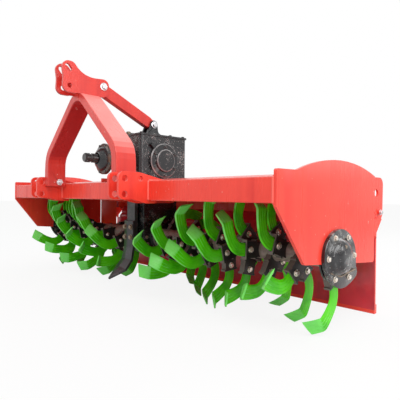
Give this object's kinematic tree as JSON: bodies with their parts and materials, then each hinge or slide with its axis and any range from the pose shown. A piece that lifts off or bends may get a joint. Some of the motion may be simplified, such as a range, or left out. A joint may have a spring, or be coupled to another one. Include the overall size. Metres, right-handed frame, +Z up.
{
  "type": "rotary tiller",
  "caption": "Tractor-mounted rotary tiller: bladed rotor under a hood, centre gearbox, three-point mast, end plates, chisel and hinged rear board.",
  "frame": {"origin": "bottom centre of the bounding box, on the ground under the machine", "axes": "+X along the rotor to the machine's left, -Y forwards to the tractor, +Z up"},
  "size_m": [1.936, 0.8979, 0.9479],
  "materials": {
    "red_paint": "gloss enamel",
    "green_paint": "gloss enamel, worn at the tips",
    "cast_black": "black enamel on rough castings",
    "bare_steel": "dark oiled steel",
    "zinc": "zinc plate"
  },
  "bodies": {
    "frame": {"front_beam": "red_paint", "end_plate_left": "red_paint", "end_plate_right": "red_paint", "hood": "red_paint", "rear_tube": "red_paint", "hitch_plates_left": "red_paint", "hitch_plates_right": "red_paint", "mast": "red_paint", "top_link_plates": "red_paint", "stay": "red_paint", "cheek_plates": "red_paint", "rear_bracket_left": "red_paint", "rear_bracket_right": "red_paint", "stay_lug": "cast_black", "gearbox_case": "cast_black", "gearbox_lid": "cast_black", "side_cover_left": "cast_black", "side_cover_right": "cast_black", "input_housing": "cast_black", "lower_case": "cast_black", "bearing_housing_left": "cast_black", "bearing_housing_right": "cast_black", "chisel_shank": "cast_black", "chisel_share": "cast_black", "stay_pins": "zinc"},
    "rotor": {"rotor_shaft": "bare_steel", "rotor_tube_left": "bare_steel", "rotor_tube_right": "bare_steel", "blades_left": "green_paint", "blades_right": "green_paint"},
    "input": {"input_shaft": "bare_steel"},
    "board": {"rear_board": "red_paint"}
  },
  "joints": [
    {"name": "rotor_spin", "type": "hinge", "parent": "frame", "child": "rotor", "pos_m": [0, 0.0115, 0.2445], "axis": [1, 0, 0], "continuous": true},
    {"name": "input_spin", "type": "hinge", "parent": "frame", "child": "input", "pos_m": [0, -0.2885, 0.5805], "axis": [0, 1, 0], "continuous": true},
    {"name": "board_swing", "type": "hinge", "parent": "frame", "child": "board", "pos_m": [0, 0.4145, 0.3725], "axis": [1, 0, 0], "range_deg": [0, 45]}
  ],
  "couplings": [
    {"joint": "input_spin", "follows": "rotor_spin", "ratio": -2.5714}
  ]
}
